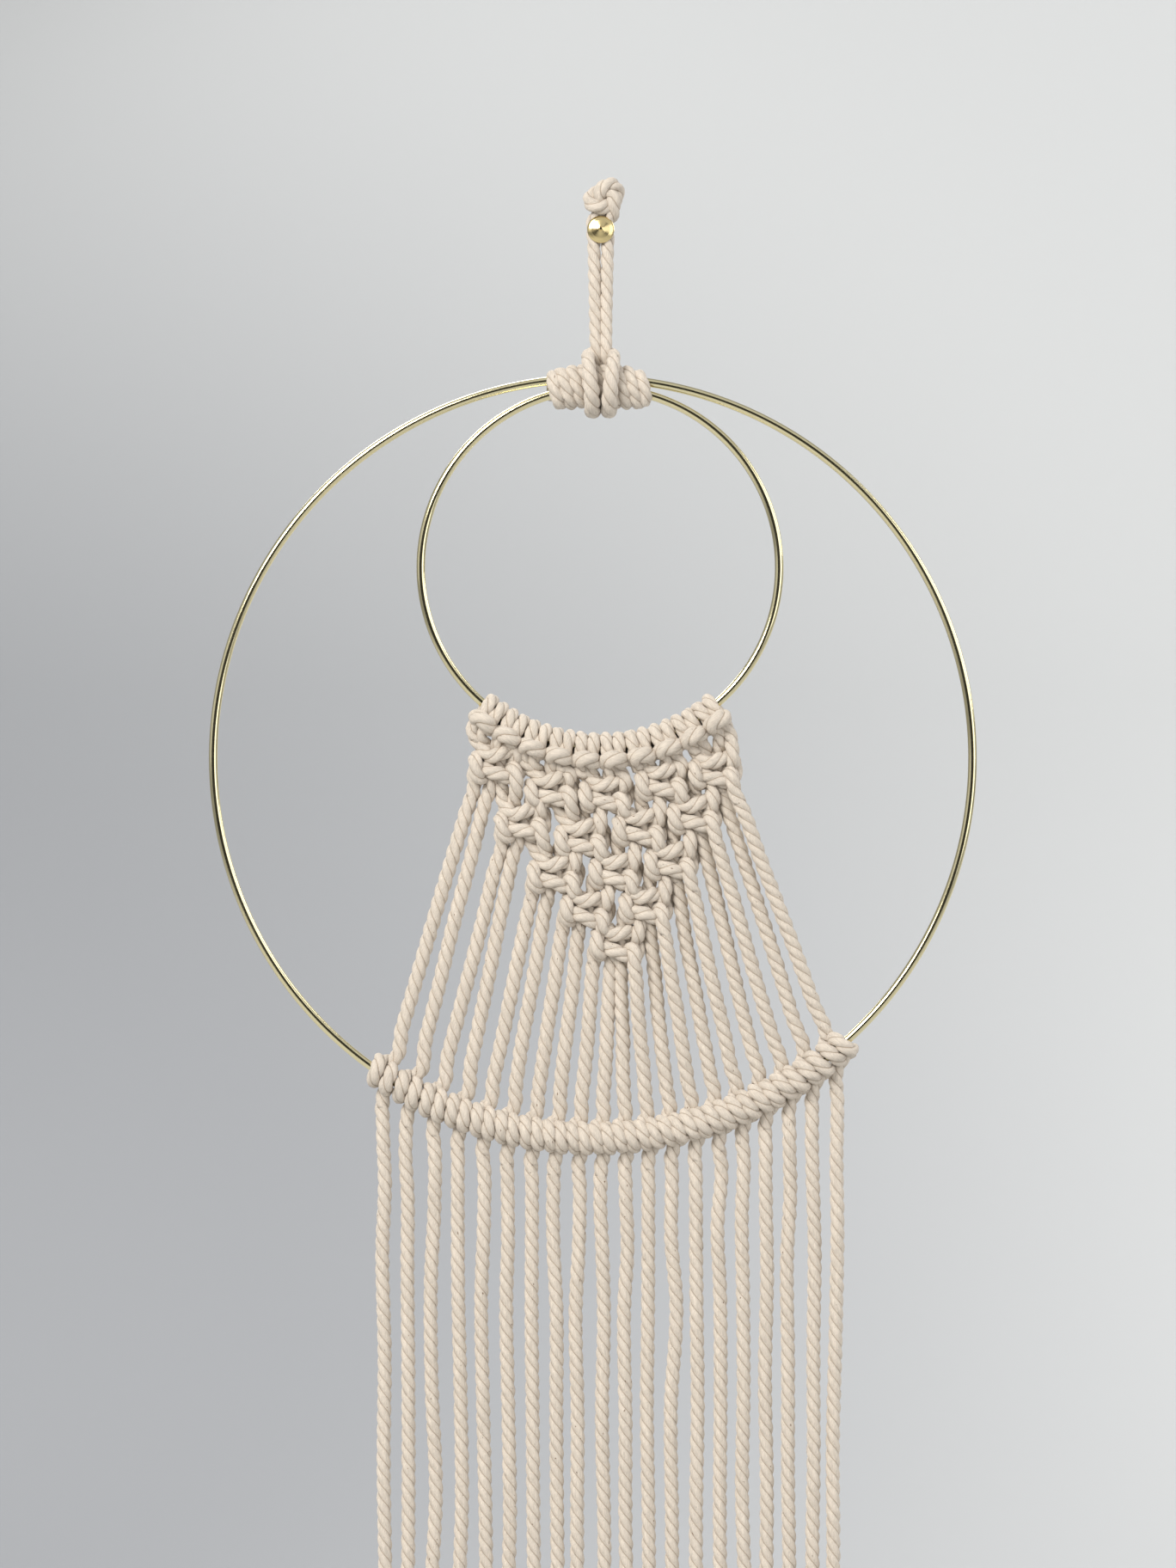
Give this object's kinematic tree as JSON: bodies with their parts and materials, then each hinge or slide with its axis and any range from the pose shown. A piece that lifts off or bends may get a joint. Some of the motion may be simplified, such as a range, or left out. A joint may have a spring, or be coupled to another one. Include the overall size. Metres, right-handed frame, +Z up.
{
  "type": "hoop wall hanging",
  "caption": "Cord wall hanging: two nested brass hoops wrapped together under a loop on a tack, a diamond of square knots, a fan of cords hitched to the large hoop, and a hanging fringe.",
  "frame": {"origin": "point on the wall plane where the tack enters it", "axes": "+Z up, +X to the viewer's right, the viewer stands at -Y, the wall plane is y = 0"},
  "size_m": [0.3, 0.0346, 0.6811],
  "materials": {
    "hoop_brass": "polished pale brass wire",
    "tack_brass": "polished brass with fine turning marks",
    "cotton_cord": "matte three-strand twisted natural cotton",
    "loop_cord": "matte three-strand twisted natural cotton, pulled tight",
    "wrap_cord": "matte three-strand twisted natural cotton"
  },
  "bodies": {
    "tack": {"tack_head": "tack_brass", "tack_shank": "tack_brass"},
    "hanger": {"hanging_loop": "loop_cord", "loop_knot": "loop_cord"},
    "hoops": {"cow_hitch": "loop_cord", "ring_wrap": "wrap_cord", "large_hoop": "hoop_brass", "small_hoop": "hoop_brass", "larks_head_pair_1": "cotton_cord", "larks_head_pair_2": "cotton_cord", "larks_head_pair_3": "cotton_cord", "larks_head_pair_4": "cotton_cord", "larks_head_pair_5": "cotton_cord", "square_knot_r1c1": "cotton_cord", "square_knot_r1c2": "cotton_cord", "square_knot_r1c3": "cotton_cord", "square_knot_r1c4": "cotton_cord", "square_knot_r1c5": "cotton_cord", "square_knot_r2c1": "cotton_cord", "square_knot_r2c2": "cotton_cord", "square_knot_r2c3": "cotton_cord", "square_knot_r2c4": "cotton_cord", "square_knot_r3c1": "cotton_cord", "square_knot_r3c2": "cotton_cord", "square_knot_r3c3": "cotton_cord", "square_knot_r4c1": "cotton_cord", "square_knot_r4c2": "cotton_cord", "square_knot_r5c1": "cotton_cord", "fan_cord_01": "cotton_cord", "fan_cord_02": "cotton_cord", "fan_cord_03": "cotton_cord", "fan_cord_04": "cotton_cord", "fan_cord_05": "cotton_cord", "fan_cord_06": "cotton_cord", "fan_cord_07": "cotton_cord", "fan_cord_08": "cotton_cord", "fan_cord_09": "cotton_cord", "fan_cord_10": "cotton_cord"},
    "strand_01": {"fringe_strand_01": "cotton_cord"},
    "strand_02": {"fringe_strand_02": "cotton_cord"},
    "strand_03": {"fringe_strand_03": "cotton_cord"},
    "strand_04": {"fringe_strand_04": "cotton_cord"},
    "strand_05": {"fringe_strand_05": "cotton_cord"},
    "strand_06": {"fringe_strand_06": "cotton_cord"},
    "strand_07": {"fringe_strand_07": "cotton_cord"},
    "strand_08": {"fringe_strand_08": "cotton_cord"},
    "strand_09": {"fringe_strand_09": "cotton_cord"},
    "strand_10": {"fringe_strand_10": "cotton_cord"},
    "strand_11": {"fringe_strand_11": "cotton_cord"},
    "strand_12": {"fringe_strand_12": "cotton_cord"},
    "strand_13": {"fringe_strand_13": "cotton_cord"},
    "strand_14": {"fringe_strand_14": "cotton_cord"},
    "strand_15": {"fringe_strand_15": "cotton_cord"},
    "strand_16": {"fringe_strand_16": "cotton_cord"},
    "strand_17": {"fringe_strand_17": "cotton_cord"},
    "strand_18": {"fringe_strand_18": "cotton_cord"},
    "strand_19": {"fringe_strand_19": "cotton_cord"},
    "strand_20": {"fringe_strand_20": "cotton_cord"}
  },
  "joints": [
    {"name": "hanger_swing", "type": "hinge", "parent": "tack", "child": "hanger", "pos_m": [0, 0, 0], "axis": [0, 1, 0], "range_deg": [-30, 30]},
    {"name": "hoops_tilt", "type": "hinge", "parent": "hanger", "child": "hoops", "pos_m": [0, -0.0079, -0.0425], "axis": [-1, 0, 0], "range_deg": [0, 50]},
    {"name": "fringe_01_swing", "type": "hinge", "parent": "hoops", "child": "strand_01", "pos_m": [-0.08517, -0.013, -0.33112], "axis": [-1, 0, 0], "range_deg": [-2, 75]},
    {"name": "fringe_02_swing", "type": "hinge", "parent": "hoops", "child": "strand_02", "pos_m": [-0.07531, -0.013, -0.33713], "axis": [-1, 0, 0], "range_deg": [-2, 75]},
    {"name": "fringe_03_swing", "type": "hinge", "parent": "hoops", "child": "strand_03", "pos_m": [-0.06547, -0.013, -0.34215], "axis": [-1, 0, 0], "range_deg": [-2, 75]},
    {"name": "fringe_04_swing", "type": "hinge", "parent": "hoops", "child": "strand_04", "pos_m": [-0.05571, -0.013, -0.34625], "axis": [-1, 0, 0], "range_deg": [-2, 75]},
    {"name": "fringe_05_swing", "type": "hinge", "parent": "hoops", "child": "strand_05", "pos_m": [-0.04605, -0.013, -0.34954], "axis": [-1, 0, 0], "range_deg": [-2, 75]},
    {"name": "fringe_06_swing", "type": "hinge", "parent": "hoops", "child": "strand_06", "pos_m": [-0.03651, -0.013, -0.35209], "axis": [-1, 0, 0], "range_deg": [-2, 75]},
    {"name": "fringe_07_swing", "type": "hinge", "parent": "hoops", "child": "strand_07", "pos_m": [-0.02708, -0.013, -0.35395], "axis": [-1, 0, 0], "range_deg": [-2, 75]},
    {"name": "fringe_08_swing", "type": "hinge", "parent": "hoops", "child": "strand_08", "pos_m": [-0.01777, -0.013, -0.35517], "axis": [-1, 0, 0], "range_deg": [-2, 75]},
    {"name": "fringe_09_swing", "type": "hinge", "parent": "hoops", "child": "strand_09", "pos_m": [-0.00854, -0.013, -0.3558], "axis": [-1, 0, 0], "range_deg": [-2, 75]},
    {"name": "fringe_10_swing", "type": "hinge", "parent": "hoops", "child": "strand_10", "pos_m": [0.00062, -0.013, -0.35585], "axis": [-1, 0, 0], "range_deg": [-2, 75]},
    {"name": "fringe_11_swing", "type": "hinge", "parent": "hoops", "child": "strand_11", "pos_m": [0.00973, -0.013, -0.35534], "axis": [-1, 0, 0], "range_deg": [-2, 75]},
    {"name": "fringe_12_swing", "type": "hinge", "parent": "hoops", "child": "strand_12", "pos_m": [0.01883, -0.013, -0.35427], "axis": [-1, 0, 0], "range_deg": [-2, 75]},
    {"name": "fringe_13_swing", "type": "hinge", "parent": "hoops", "child": "strand_13", "pos_m": [0.02793, -0.013, -0.35262], "axis": [-1, 0, 0], "range_deg": [-2, 75]},
    {"name": "fringe_14_swing", "type": "hinge", "parent": "hoops", "child": "strand_14", "pos_m": [0.03705, -0.013, -0.35036], "axis": [-1, 0, 0], "range_deg": [-2, 75]},
    {"name": "fringe_15_swing", "type": "hinge", "parent": "hoops", "child": "strand_15", "pos_m": [0.04621, -0.013, -0.34746], "axis": [-1, 0, 0], "range_deg": [-2, 75]},
    {"name": "fringe_16_swing", "type": "hinge", "parent": "hoops", "child": "strand_16", "pos_m": [0.05541, -0.013, -0.34387], "axis": [-1, 0, 0], "range_deg": [-2, 75]},
    {"name": "fringe_17_swing", "type": "hinge", "parent": "hoops", "child": "strand_17", "pos_m": [0.06464, -0.013, -0.33953], "axis": [-1, 0, 0], "range_deg": [-2, 75]},
    {"name": "fringe_18_swing", "type": "hinge", "parent": "hoops", "child": "strand_18", "pos_m": [0.07388, -0.013, -0.33436], "axis": [-1, 0, 0], "range_deg": [-2, 75]},
    {"name": "fringe_19_swing", "type": "hinge", "parent": "hoops", "child": "strand_19", "pos_m": [0.0831, -0.013, -0.32828], "axis": [-1, 0, 0], "range_deg": [-2, 75]},
    {"name": "fringe_20_swing", "type": "hinge", "parent": "hoops", "child": "strand_20", "pos_m": [0.09223, -0.013, -0.3212], "axis": [-1, 0, 0], "range_deg": [-2, 75]}
  ]
}
